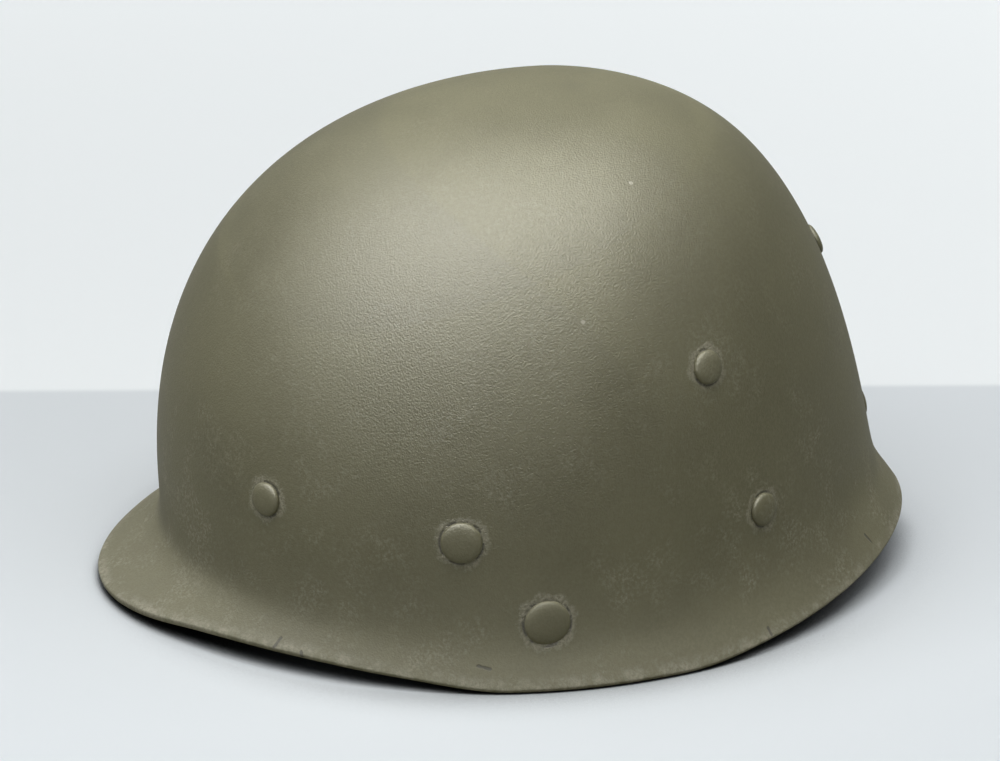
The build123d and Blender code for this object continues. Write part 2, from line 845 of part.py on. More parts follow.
def chinstrap_buckle():
    """Slide buckle on the left leg of the chinstrap."""
    opening_width = chin_width + 2 * buckle_clearance
    opening_height = leather + 2 * buckle_clearance
    ring = frame_ring(chin_buckle_length, opening_width, opening_height, chin_buckle_bar)
    return leg_plane(chin_buckle_place) * ring


def chinstrap_keeper():
    """Leather loop on the right leg of the chinstrap."""
    opening_width = chin_width + 2 * layer_gap
    opening_height = leather + 2 * layer_gap
    ring = frame_ring(keeper_length, opening_width, opening_height, leather / 2)
    return mirror(leg_plane(keeper_place) * ring, about=Plane.YZ)


def right(shape):
    """A left piece mirrored to the right."""
    return mirror(shape, about=Plane.YZ)


def main():
    """Builds every piece and writes one file for each."""
    front_strap = crown_strap(front_seat)
    side_strap = crown_strap(side_seat)
    pieces = {
        "shell": shell(),
        "suspension_rivets": suspension_rivets(),
        "nape_rivets": nape_rivets(),
        "chinstrap_studs": chinstrap_studs(),
        "snap_caps": snap_caps(),
        "snap_sockets": snap_sockets(),
        "suspension_washers": suspension_washers(),
        "nape_washers": nape_washers(),
        "stud_washers": stud_washers(),
        "headband": headband(),
        "crown_strap_front_left": front_strap,
        "crown_strap_front_right": right(front_strap),
        "crown_strap_side_left": side_strap,
        "crown_strap_side_right": right(side_strap),
        "crown_strap_back": crown_strap(back_seat),
        "crown_lace": crown_lace(),
        "sweatband": sweatband(),
        "sweatband_clips": sweatband_clips(),
        "sweatband_buckle": sweatband_buckle(),
        "nape_strap_centre": nape_strap_centre(),
        "nape_strap_left": nape_strap_left(),
        "nape_strap_right": right(nape_strap_left()),
        "nape_buckle_left": nape_buckle_left(),
        "nape_buckle_right": right(nape_buckle_left()),
        "chinstrap": chinstrap(),
        "chinstrap_hooks": chinstrap_hooks(),
        "chinstrap_rivets": chinstrap_rivets(),
        "chinstrap_buckle": chinstrap_buckle(),
        "chinstrap_keeper": chinstrap_keeper(),
    }
    os.makedirs("parts", exist_ok=True)
    for name, piece in pieces.items():
        export_step(piece, f"parts/{name}.step")
        print(name, len(piece.solids()), round(sum(solid.volume for solid in piece.solids()), 1))


if __name__ == "__main__":
    main()
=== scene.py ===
# %% [markdown]
# # A riveted fibre helmet liner
# The real object is a thin shell of cloth laminated with resin, moulded into a dome with a visor in
# front, a flared nape behind and a soft skirt between them, and painted a matt olive drab. Rivets
# through the wall hold a web suspension inside. The frame that this lesson loads holds every piece
# as a plain solid. Here the shell, its rivets and each soft piece are modelled again with numpy,
# and the other metal pieces keep their solids and get worn finishes.

# %% The frame
import math

import bmesh
import bpy
import numpy as np
from mathutils import Matrix


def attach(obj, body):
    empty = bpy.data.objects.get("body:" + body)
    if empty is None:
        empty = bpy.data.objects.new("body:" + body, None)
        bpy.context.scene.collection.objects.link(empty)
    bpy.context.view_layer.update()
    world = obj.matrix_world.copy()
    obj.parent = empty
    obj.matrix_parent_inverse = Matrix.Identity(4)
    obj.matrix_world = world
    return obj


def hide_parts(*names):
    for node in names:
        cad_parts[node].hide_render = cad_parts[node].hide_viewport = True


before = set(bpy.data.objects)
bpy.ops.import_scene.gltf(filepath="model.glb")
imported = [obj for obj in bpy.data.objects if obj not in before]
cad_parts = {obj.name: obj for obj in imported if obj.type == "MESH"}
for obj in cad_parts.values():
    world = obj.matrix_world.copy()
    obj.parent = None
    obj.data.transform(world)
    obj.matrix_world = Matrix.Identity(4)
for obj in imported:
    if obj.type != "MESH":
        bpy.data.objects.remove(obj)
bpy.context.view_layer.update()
mm = 0.001

# %% [markdown]
# ## The camera
# The liner is seen from its left side, a little from the front and from about twenty degrees
# above. The camera could be aimed by hand, but a turn matrix made from where it stands and where it
# looks gives the same frame each time, with the small tilt of the horizon as one more angle.

# %% Camera
camera_place = np.array([1.14698, -0.27942, 0.49750])
camera_target = np.array([0.0, -0.00297, 0.06175])
camera_roll = math.radians(0.377)
camera_lens, sensor_width = 134.78, 36.0
scene = bpy.context.scene


def unit(way):
    """Each vector divided by its length."""
    way = np.asarray(way, float)
    return way / np.linalg.norm(way, axis=-1, keepdims=True)


def link(name, data):
    """A new object in the scene."""
    thing = bpy.data.objects.new(name, data)
    scene.collection.objects.link(thing)
    return thing


def aim(thing, place, target, roll=0.0):
    """Turns a thing so that its -Z looks at the target: right is the look crossed with up."""
    look = unit(np.subtract(target, place))
    level = unit(np.cross(look, (0, 0, 1)))
    rise = np.cross(level, look)
    right = math.cos(roll) * level + math.sin(roll) * rise
    above = math.cos(roll) * rise - math.sin(roll) * level
    turned = np.eye(4)
    turned[:3] = np.stack([right, above, -look, place], -1)
    thing.matrix_world = Matrix(turned.tolist())


view = bpy.data.cameras.new("view")
view.lens, view.sensor_width, view.sensor_fit = camera_lens, sensor_width, "HORIZONTAL"
view.clip_start = 0.05
scene.camera = link("camera", view)
aim(scene.camera, camera_place, camera_target, camera_roll)
scene.view_settings.view_transform = "Standard"
print("camera at", camera_place.round(3), "lens", camera_lens)

# %% [markdown]
# ## Finishes
# Every finish is a small network of nodes. Writing each node by hand takes many lines, so a class
# adds a node, fills its sockets and gives back its result. Patterns read Object coordinates, in
# metres, or a map that the piece carries, so they stay on the piece from every side.

# %% Node helpers
def linear(red, green, blue):
    """A colour read off a screen, 0 to 255, as linear light: the 2.4 power curve."""
    shown = np.array([red, green, blue]) / 255
    light = np.where(shown <= 0.04045, shown / 12.92, ((shown + 0.055) / 1.055) ** 2.4)
    return (*light.tolist(), 1.0)


class Network:
    """The nodes of a material or a world, added one at a time."""

    def __init__(self, owner):
        owner.use_nodes = True
        self.tree = owner.node_tree

    def put(self, node, sockets):
        """Sets or links sockets. A colour is given as read off a screen."""
        for name, value in sockets.items():
            socket = node.inputs[name]
            if isinstance(value, bpy.types.NodeSocket):
                self.tree.links.new(value, socket)
            else:
                socket.default_value = linear(*value) if socket.type == "RGBA" else value

    def add(self, kind, sockets=(), out=0, **settings):
        """A new node, and the result that it gives."""
        node = self.tree.nodes.new("ShaderNode" + kind)
        for name, value in settings.items():
            setattr(node, name, value)
        self.put(node, dict(sockets))
        return node.outputs[out]

    def math(self, operation, first, second=0.0, third=0.0, clamp=False):
        """Up to three numbers combined."""
        sockets = {0: first, 1: second, 2: third}
        return self.add("Math", sockets, operation=operation, use_clamp=clamp)

    def times(self, first, second):
        """Product of two numbers."""
        return self.math("MULTIPLY", first, second)

    def vector(self, operation, first, second, out=0):
        """Two vectors combined. The result called Value is a number."""
        return self.add("VectorMath", {0: first, 1: second}, out, operation=operation)

    def parts(self, vector):
        """X, Y and Z of a vector."""
        return self.add("SeparateXYZ", {0: vector}).node.outputs


class Finish(Network):
    """One material, with its patterns on Object coordinates."""

    def __init__(self, name, roughness=0.6, metallic=0.0, specular=0.5):
        self.material = bpy.data.materials.new(name)
        super().__init__(self.material)
        self.place = self.add("TexCoord", out="Object")
        self.use(Roughness=roughness, Metallic=metallic, Specular_IOR_Level=specular)

    def use(self, **sockets):
        """Sets or links the shader's own sockets, with _ for each space."""
        sockets = {name.replace("_", " "): value for name, value in sockets.items()}
        self.put(self.tree.nodes["Principled BSDF"], sockets)
        return self.material

    def step(self, value, low, high, start=0.0, end=1.0):
        """A smooth step from start to end, as the value goes from low to high."""
        sockets = {"Value": value, "From Min": low, "From Max": high}
        sockets |= {"To Min": start, "To Max": end}
        return self.add("MapRange", sockets, interpolation_type="SMOOTHSTEP")

    def noise(self, size, detail=2.0, roughness=0.5, distortion=0.0):
        """Soft noise whose blobs are about as large as the size, in metres."""
        sockets = {"Vector": self.place, "Scale": 1 / size, "Detail": detail}
        return self.add("TexNoise", sockets | {"Roughness": roughness, "Distortion": distortion})

    def mix(self, share, first, second):
        """One colour laid over another by a share."""
        return self.add("Mix", {0: share, 6: first, 7: second}, 2, data_type="RGBA")

    def stain(self, colour, tone, value, low, high, share=1.0):
        """A tone laid over a colour up to a share, as a value goes from low to high."""
        return self.mix(self.step(value, low, high, 0.0, share), colour, tone)

    def bump(self, height, distance, strength=1.0, below=None):
        """A relief of that height, in metres, on the one below it."""
        sockets = {"Height": height, "Distance": distance, "Strength": strength}
        return self.add("Bump", sockets if below is None else sockets | {"Normal": below})

    def near(self, point):
        """Distance in metres from a point given in millimetres."""
        return self.vector("DISTANCE", self.place, tuple(np.multiply(point, mm)), "Value")

    def surface(self):
        """The two places on the map that a piece carries, in millimetres."""
        return self.parts(self.add("UVMap", uv_map="surface_mm"))[:2]


# %% [markdown]
# ## Table, background and light
# The liner stands on a pale table in front of a white wall. A wall would show its back in other
# views, so one wide floor carries both tones. The table is painted darker towards its far edge, a
# painted falloff of light, and near black where the liner nearly covers it, a painted contact
# shadow. The floor throws back less light than it shows, because a bright table would wash out the
# olive low on the skirt. One wide softbox hangs above the wearer's left brow. A lamp well below it,
# which only gloss sees, makes the highlight as strong as a real softbox does, while colours stay as
# they are written. In one plane the two would hide each other.

# %% Floor, world and lamps
table_edge, edge_slant = -0.1603, 0.2032
table_far_shade, table_near, wall_tone = (212, 217, 220), (223, 228, 231), (234, 238, 239)
contact_shadow_tone, bounce_tone, contact_shadow_reach = (40, 41, 42), (165, 165, 158), 0.04
ambient_tone, backdrop_tone = (238, 241, 243), (238, 241, 241)
ambient_level, gloss_share, floor_reach, far_glow = 0.18, 0.25, 14.0, 0.6
lamp_target = (0.0, 0.0, 0.07)
# Place and width in metres, and power in watts.
lamps = {
    "softbox": ((0.216, -0.313, 1.45), 1.72, 25.0),
    "softbox_gloss": ((0.33, -0.33, 1.27), 1.72, 92.0),
    "fill": ((0.3, 0.95, 1.2), 1.0, 3.2),
}


def seen(look):
    """1 for what the camera sees, a share for what gloss sees, and 0 for other light."""
    rays = look.add("LightPath").node.outputs
    return look.math("MULTIPLY_ADD", rays["Is Glossy Ray"], gloss_share, rays["Is Camera Ray"])


def make_floor():
    """A square of floor under the origin, in two tones that meet at the table's far edge."""
    ways = ((-1, -1), (1, -1), (1, 1), (-1, 1))
    mesh = bpy.data.meshes.new("floor")
    mesh.from_pydata([(x * floor_reach, y * floor_reach, 0) for x, y in ways], [], [(0, 1, 2, 3)])
    floor = link("floor", mesh)
    look = Finish("table_top", roughness=0.9, specular=0.0)
    x, y, _ = look.parts(look.place)
    past = look.math("MULTIPLY_ADD", y, -edge_slant, x)
    # Painted falloff of light: the table's colour is darker towards its far edge and lighter near
    # the camera.
    pale = look.stain(table_far_shade, table_near, past, table_edge, 0.1)
    pale = look.stain(wall_tone, pale, past, table_edge - 0.004, table_edge + 0.002)
    # Painted contact shadow: the floor goes to a near black tone where ambient occlusion finds it
    # nearly covered, under the rim.
    open_share = look.add("AmbientOcclusion", {"Distance": contact_shadow_reach}, "AO", samples=8)
    pale = look.stain(contact_shadow_tone, pale, open_share, 0.42, 0.86)
    lamp_foot = np.divide(lamps["softbox"][0], mm) * (1, 1, 0)
    glow = look.step(look.near(lamp_foot), 0.35, 1.8, 0.0, far_glow)
    glow = look.times(glow, look.add("LightPath", out="Is Camera Ray"))
    look.use(Emission_Strength=glow, Emission_Color=pale)
    mesh.materials.append(look.use(Base_Color=look.mix(seen(look), bounce_tone, pale)))


def make_world():
    """Pale light from all sides, and near white where the camera sees it."""
    scene.world = bpy.data.worlds.new("studio")
    look = Network(scene.world)
    ambient = look.tree.nodes["Background"]
    look.put(ambient, {"Color": ambient_tone, "Strength": ambient_level})
    shown = look.add("Background", {"Color": backdrop_tone})
    swap = look.add("MixShader", {0: seen(look), 1: ambient.outputs[0], 2: shown})
    look.put(look.tree.nodes["World Output"], {"Surface": swap})


make_floor()
make_world()
for name, (place, width, power) in lamps.items():
    lamp = bpy.data.lights.new(name, "AREA")
    lamp.size, lamp.energy = width, power
    thing = link(name, lamp)
    aim(thing, place, lamp_target)
    thing.visible_diffuse = name != "softbox_gloss"
print("floor, world and lamps made")

# %% [markdown]
# ## The dome as a formula
# The shell has no flat sides to extrude, so its skin is a formula of the turn round the head, from
# the brow towards the left ear, and the height. At each height the outline is two half
# superellipses that meet above the ears. Their reaches shrink towards the crown, and three soft
# flares push the foot of the wall out into the visor, the skirt and the nape.

# %% Skin
crown_height, crown_setback = 162.7, 48.6
brow_reach, nape_reach, side_reach = 114.1, 132.7, 108.3
middle_advance, shell_advance, wall = 2.1, -0.4, 3.0
brow_round, side_round, nape_round = 2.3, 2.8, 2.81
front_square, rear_square, lean = 2.06, 1.84, 0.166
visor_flare, side_flare, nape_flare = (13.2, 3.2, 1.95), (12.0, 5.2, 0.6), (30.0, 3.4, 0.524)
visor_spread, nape_spread = 3.0, 2.38
flip_x = np.array([-1.0, 1.0, 1.0])


def signed_power(value, power):
    """A power that keeps the value's sign."""
    return np.sign(value) * np.abs(value) ** power


def rounded(height, power):
    """Share of the foot's width left at a height: (1 - (z / top)^p)^(1 / p)."""
    share = np.clip(height / crown_height, 0, 1)
    return np.maximum(1 - share**power, 0) ** (1 / power)


def flare(height, start, soft, slope):
    """Outward offset of a skirt: slope * soft * ln(1 + e^((start - z) / soft))."""
    return slope * soft * np.logaddexp(0, (start - height) / soft)


def skin(turn, height):
    """Point of the outer skin: half superellipses round a moving middle, leant and flared."""
    turn, height = np.broadcast_arrays(turn, height)
    side = side_reach * rounded(height, side_round)
    front = -crown_setback + (brow_reach + crown_setback) * rounded(height, brow_round)
    rear = -crown_setback - (nape_reach - crown_setback) * rounded(height, nape_round)
    rise = np.clip(height / crown_height, 0, 1) ** 2
    middle = middle_advance - (crown_setback + middle_advance) * rise
    ahead = np.cos(turn) > 0
    square = np.where(ahead, front_square, rear_square)
    reach = np.where(ahead, front - middle, middle - rear)
    along = signed_power(np.cos(turn), 2 / square)
    across = signed_power(np.sin(turn), 2 / square)
    normal_along = signed_power(along, square - 1) * side
    normal_across = signed_power(across, square - 1) * reach
    size = np.maximum(np.hypot(normal_along, normal_across), 1e-9)
    normal_along, normal_across = normal_along / size, normal_across / size
    visor_part = np.maximum(normal_along, 0) ** visor_spread
    nape_part = np.maximum(-normal_along, 0) ** nape_spread
    offset = visor_part * flare(height, *visor_flare) + nape_part * flare(height, *nape_flare)
    offset = offset + (1 - visor_part - nape_part) * flare(height, *side_flare)
    advance = middle + reach * along + lean * height + offset * normal_along
    return np.stack([side * across + offset * normal_across, shell_advance - advance, height], -1)


# %% [markdown]
# ## Where the rivets sit
# Five rivets hold the suspension and three the nape strap, and a press stud and a strap stud sit
# low on each side. The paint wears round each head, so places and sizes come before both.

# %% Seats
class Seat:
    """A flat place on the skin: out leaves it, level runs round it and up climbs it."""

    def __init__(self, at, out):
        self.at, self.out = at, out
        self.level = unit(np.cross((0, 0, 1), out))
        self.up = np.cross(out, self.level)

    def mirrored(self):
        """The same seat on the wearer's right."""
        return Seat(self.at * flip_x, self.out * flip_x)


def seat_at(turn, height):
    """Seat on the skin, where out is a short step round crossed with one up."""
    round_way = skin(turn + 0.002, height) - skin(turn - 0.002, height)
    up_way = skin(turn, height + 0.4) - skin(turn, height - 0.4)
    return Seat(skin(turn, height), unit(np.cross(round_way, up_way)))


nape_height, stud_height, stud_y = 44.3, 21.0, -13.0
front_seat = seat_at(math.radians(38.1), 53.3)
side_seat = seat_at(math.radians(115.1), 94.7)
back_seat = seat_at(math.pi, 104.0)
nape_seat = seat_at(math.radians(123.8), nape_height)
nape_back_seat = seat_at(math.pi, nape_height)
snap_seat = seat_at(math.radians(73.2), 48.0)
stud_turns = np.linspace(math.pi / 4, math.pi * 3 / 4, 4001)
stud_ys = skin(stud_turns, stud_height)[:, 1] - shell_advance
stud_place = skin(np.interp(stud_y, stud_ys, stud_turns), stud_height)
stud_seat = Seat(stud_place, np.array([1.0, 0.0, 0.0]))

web_gap, web_thickness, washer, clinch, snap_clinch = 1.7, 1.5, 0.8, 1.0, 1.5
head_depth = wall + web_gap
clinch_depth = head_depth + 2 * web_thickness + washer
suspension_seats = [front_seat, side_seat, back_seat, front_seat.mirrored(), side_seat.mirrored()]
rivet, rivet_end = (5.4, 2.1, 2.0), (3.4, clinch)
# Piece, node, seats, and the radius, rise, shank, length, end radius and end thickness of a head.
heads = (
    ("rivet_heads", "suspension_rivets", suspension_seats, (*rivet, clinch_depth, *rivet_end)),
    ("nape_rivet_heads", "nape_rivets", [nape_seat, nape_back_seat, nape_seat.mirrored()],
     (*rivet, clinch_depth - web_thickness, *rivet_end)),
    ("press_stud_caps", "snap_caps", [snap_seat, snap_seat.mirrored()],
     (6.6, 2.1, 2.2, wall + snap_clinch, 3.4, 0.8)),
    ("strap_stud_caps", "chinstrap_studs", [stud_seat, stud_seat.mirrored()],
     (7.4, 2.2, 2.5, 7.4, 4.2, 1.4)),
)
print("rivet seats at", front_seat.at.round(1), side_seat.at.round(1), back_seat.at.round(1))

# %% [markdown]
# ## Grids into meshes
# A surface worked out as rows and columns becomes a mesh by joining each point to its neighbours.
# Rows and columns can close into rings, and an open end can be shut by a pole or a flat cap. A map
# in millimetres goes along for finishes that follow the surface.

# %% Grid mesh helpers
def grid_faces(rows, columns, close_rows, close_columns, start=0):
    """Four corners of each cell, in order round it."""
    row = np.arange(rows if close_rows else rows - 1)[:, None]
    column = np.arange(columns if close_columns else columns - 1)[None, :]
    next_row, next_column = (row + 1) % rows, (column + 1) % columns
    corners = (row, column), (row, next_column), (next_row, next_column), (next_row, column)
    corners = np.broadcast_arrays(*(start + row * columns + column for row, column in corners))
    return np.stack(corners, -1).reshape(-1, 4)


class Shape:
    """Points, faces and the map of one mesh, gathered from several grids."""

    def __init__(self):
        self.points, self.quads, self.others, self.maps, self.count = [], [], [], [], 0

    def hold(self, points, maps=None):
        """Keeps a list of points, and gives the number of its first."""
        self.points.append(points)
        self.maps.append(np.zeros((len(points), 2)) if maps is None else maps.reshape(-1, 2))
        self.count += len(points)
        return self.count - len(points)

    def grid(self, points, maps=None, close_rows=False, close_columns=False, caps=False,
             poles=False):
        """Adds a grid of points in mm. Caps shut its end columns, poles its end rows."""
        rows, columns = points.shape[:2]
        base = self.hold(points.reshape(-1, 3), maps)
        self.quads.append(grid_faces(rows, columns, close_rows, close_columns, base))
        if caps:
            ring = base + np.arange(rows) * columns
            self.others += [ring.tolist(), (ring[::-1] + columns - 1).tolist()]
        for row, turn in ((0, 1), (rows - 1, -1)) if poles else ():
            pole = self.hold(points[row].mean(0, keepdims=True))
            ring = base + row * columns + np.arange(columns)
            pairs = zip(np.roll(ring, -1).tolist(), ring.tolist())
            self.others += [[pole, *pair][::turn] for pair in pairs]
        return self

    def make(self, name, material, slot, nodes=(), body="liner"):
        """The finished piece, with its faces turned outwards."""
        points = np.concatenate(self.points) * mm
        faces = np.concatenate(self.quads).tolist() + self.others
        mesh = bpy.data.meshes.new(name)
        mesh.from_pydata(points.tolist(), [], faces)
        layer = mesh.uv_layers.new(name="surface_mm")
        corner = np.zeros(len(mesh.loops), np.int32)
        mesh.loops.foreach_get("vertex_index", corner)
        layer.data.foreach_set("uv", np.concatenate(self.maps)[corner].astype(np.float32).ravel())
        mesh.shade_smooth()
        mesh.materials.append(material)
        piece = link(name, mesh)
        work = bmesh.new()
        work.from_mesh(mesh)
        bmesh.ops.recalc_face_normals(work, faces=work.faces)
        work.to_mesh(mesh)
        work.free()
        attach(piece, body)
        if nodes:
            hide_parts(*nodes)
        print(name, len(mesh.vertices), "points", len(mesh.polygons), "faces")
        return piece


# %% [markdown]
# ## The shell
# The laminate's edge shows as a thin band all round the rim. One grid runs from the crown down the
# outside, round the edge and up the inside, which is the outside moved in along its own normal. The
# rim is flat under the ears, arched under the visor and climbs to the nape.

# %% Rim line and shell
foot_front, foot_rear, visor_tip, nape_tip = 25.0, 33.0, 139.8, 137.9
visor_runs, visor_rises = (0, 0.3, 0.56, 0.78, 0.93, 1.0), (0, 0.64, 1.0, 0.88, 0.36, 0.08)
nape_runs, nape_rises = (0, 0.3, 0.6, 0.8, 1.0), (0, 0.2, 0.5, 0.75, 1.0)
visor_rise, nape_rise = 5.3, 15.4
turns_round, rows_outside, rows_edge, row_crowding = 320, 150, 12, 1.12
edge_bulge, edge_fade = 0.9, 11.0


def round_turns(count):
    """Turns an even step apart, once round."""
    return np.linspace(0, 2 * math.pi, count, endpoint=False)


def run_length(path):
    """Distance along a path, or along each column of a grid."""
    steps = np.linalg.norm(np.diff(path, axis=0), axis=-1)
    return np.concatenate([np.zeros_like(steps[:1]), np.cumsum(steps, axis=0)])


def cubic(share, start, end, start_way, end_way):
    """Cubic from start to end that leaves and arrives along two ways."""
    leave, arrive = share * (1 - share) ** 2, share * share * (share - 1)
    ease = share * share * (3 - 2 * share)
    return start + (end - start) * ease + start_way * leave + end_way * arrive


def hermite(x, places, values):
    """Smooth curve through points, with the averages of the chords as slopes."""
    places, values = np.array(places), np.array(values)
    chords = np.diff(values) / np.diff(places)
    slopes = np.concatenate([[0], (chords[1:] + chords[:-1]) / 2, [chords[-1]]])
    x = np.clip(x, places[0], places[-1])
    cell = np.clip(np.searchsorted(places, x) - 1, 0, len(places) - 2)
    run = places[cell + 1] - places[cell]
    ways = run * slopes[cell], run * slopes[cell + 1]
    return cubic((x - places[cell]) / run, values[cell], values[cell + 1], *ways)


def rim_line(y):
    """Height of the rim seen from the side, at a place along the head in mm."""
    ahead = (shell_advance - y - foot_front) / (visor_tip - foot_front)
    behind = (y - shell_advance - foot_rear) / (nape_tip - foot_rear)
    front = visor_rise * hermite(ahead, visor_runs, visor_rises)
    return np.where(ahead > 0, front, nape_rise * hermite(behind, nape_runs, nape_rises))


def rim_heights(turns):
    """Where the skin meets the rim line, found by halving."""
    low, high = np.full_like(turns, -6.0), np.full_like(turns, 40.0)
    for _ in range(40):
        middle = (low + high) / 2
        above = middle > rim_line(skin(turns, middle)[..., 1])
        low, high = np.where(above, low, middle), np.where(above, middle, high)
    return (low + high) / 2


def normals(grid):
    """Outward normal of each grid point: the step round crossed with the step up."""
    round_way = np.roll(grid, -1, 1) - np.roll(grid, 1, 1)
    way = np.cross(round_way, np.gradient(grid, axis=0))
    way[-1] = (0, 0, 1)
    return unit(way)


def make_shell(material):
    """Rows down the outside, round a half ellipse at the edge, and up the inside."""
    turns = round_turns(turns_round)
    rim = rim_heights(turns)
    slope = skin(turns, rim + 1.0) - skin(turns, rim)
    spread = np.hypot(slope[:, 0], slope[:, 1])
    lift = (wall + edge_bulge / 2) * spread / np.hypot(spread, 1.0)
    track = skin(math.pi / 2, crown_height * np.sin(np.linspace(0, math.pi / 2, 4000)))
    length = run_length(track)
    wanted = np.linspace(0, 1, rows_outside) ** row_crowding * length[-1]
    share = np.interp(wanted, length, track[:, 2] / crown_height)
    start = rim + lift
    height = start + (crown_height - start) * share[:, None]
    outside = skin(turns, height - lift * np.exp(-(((height - start) / edge_fade) ** 2)))
    outside[..., 2] = height
    out = normals(outside)
    inside = outside - out * wall
    down = unit(outside[0] - outside[1])
    around = np.linspace(0, math.pi, rows_edge + 2)[1:-1, None, None]
    middle = outside[0] - out[0] * wall / 2
    edge = middle + out[0] * (wall / 2) * np.cos(around) + down * edge_bulge * np.sin(around)
    grid = np.concatenate([outside[::-1], edge, inside])
    away = run_length(outside)
    away = np.concatenate([away[::-1], away[:1].repeat(rows_edge, 0), away])
    within = np.pad(np.linspace(0, 1, rows_edge), rows_outside, "edge")
    maps = np.stack(np.broadcast_arrays(away, within[:, None]), -1)
    shape = Shape().grid(grid[1:-1], maps[1:-1], close_columns=True, poles=True)
    crown = skin(0.0, crown_height)
    shape.points[1][0], shape.points[2][0] = crown, crown - (0, 0, wall)
    shape.maps[1][0], shape.maps[2][0] = maps[0, 0], maps[-1, 0]
    return shape.make("painted_shell", material, "painted_fibre", ["shell"])


# %% [markdown]
# ## Matt paint on fibre
# The paint is thin and dry, with the fine pimples of a sprayed coat in the highlight. Handling has
# rubbed it pale in patches, mostly low down, and a worn ring and a broken hairline crack mark where
# each head presses on the laminate. A picture of wear would be quick, but nodes that measure the
# distance to each rivet follow the shape at any scale.

# %% Paint
olive_dark, olive_light, olive_pale = (90, 87, 59), (99, 96, 67), (150, 146, 126)
speck_tone, crack_tone = (128, 124, 98), (44, 42, 32)
resin_dark, resin_light = (58, 53, 38), (84, 78, 58)
pimpled_place = (92.5, -6.4, 112.0)
splits = [((77.9, -92.5, 10.1), (78.7, -94.9, 7.6)), ((84.7, -87.3, 7.7), (85.9, -87.0, 5.2)),
          ((108.5, -35.6, 8.3), (109.7, -32.0, 7.5)), ((97.9, 62.4, 7.2), (98.6, 63.4, 5.0)),
          ((59.1, 107.7, 19.6), (57.6, 112.7, 12.5))]
pale_specks = ((62.7, 23.8, 148.4), (91.9, 1.1, 113.8))


def split_distance(look, start, end):
    """Distance in metres from a straight split, measured from its nearest point."""
    start, run = np.multiply(start, mm), np.subtract(end, start) * mm
    from_start = look.vector("SUBTRACT", look.place, tuple(start))
    share = look.vector("DOT_PRODUCT", from_start, tuple(run / np.dot(run, run)), "Value")
    along = look.vector("MULTIPLY", tuple(run), look.math("ADD", share, clamp=True))
    return look.vector("DISTANCE", from_start, along, "Value")


def coat(look):
    """What all paint shares: tone, worn share, roughness, relief and fine speckle."""
    cloud = look.noise(0.045, 4.0, 0.55)
    speck = look.noise(0.0011, 3.0, 0.7)
    tone = look.stain(olive_dark, olive_light, cloud, 0.3, 0.7)
    tone = look.stain(tone, speck_tone, speck, 0.35, 0.65, 0.16)
    patch = look.noise(0.02, 5.0, 0.7, 0.4)
    rubbed = look.times(look.step(patch, 0.46, 0.74), look.step(speck, 0.42, 0.68))
    height = look.parts(look.place)[2]
    worn = look.times(rubbed, look.step(height, 0.13, 0.04, 0.15, 0.6))
    coarse = look.step(look.near(pimpled_place), 0.04, 0.1, 1.0, 0.45)
    relief = look.bump(look.noise(0.0006, 2.0, 0.6), 0.00028, coarse)
    rough = look.step(cloud, 0.3, 0.7, 0.52, 0.57)
    rough = look.math("ADD", rough, look.step(height, 0.045, 0.014, 0.0, 0.26))
    return tone, worn, rough, relief, speck


def rivet_wear(look, speck):
    """Worn ring and broken crack round each head, by distance."""
    nearest = 1.0
    for *_, seats, sizes in heads:
        for seat in seats:
            gap = look.math("SUBTRACT", look.near(seat.at), sizes[0] * mm)
            nearest = look.math("MINIMUM", nearest, gap)
    wobble = look.math("MULTIPLY_ADD", look.noise(0.005, 4.0, 0.7), 0.007, -0.0035)
    ring = look.step(look.math("ADD", nearest, wobble), 0.0028, 0.0009)
    ring = look.times(ring, look.step(speck, 0.38, 0.6, 0.35, 1.0))
    broken = look.step(look.noise(0.005, 3.0, 0.6), 0.46, 0.56)
    return ring, look.times(look.step(nearest, 0.0009, 0.0004), broken)


def canvas(look):
    """Plain weave of the laminate's inner cloth: two crossed rows of ribs 3.2 mm apart."""
    sockets = {"Vector": look.place, "Scale": 98.0}
    return look.times(*(look.add("TexWave", sockets, 1, bands_direction=way) for way in "XZ"))


def paint_caps():
    """Paint on metal."""
    look = Finish("painted_metal")
    tone, worn, rough, relief, _ = coat(look)
    return look.use(Base_Color=look.mix(worn, tone, olive_pale), Roughness=rough, Normal=relief)


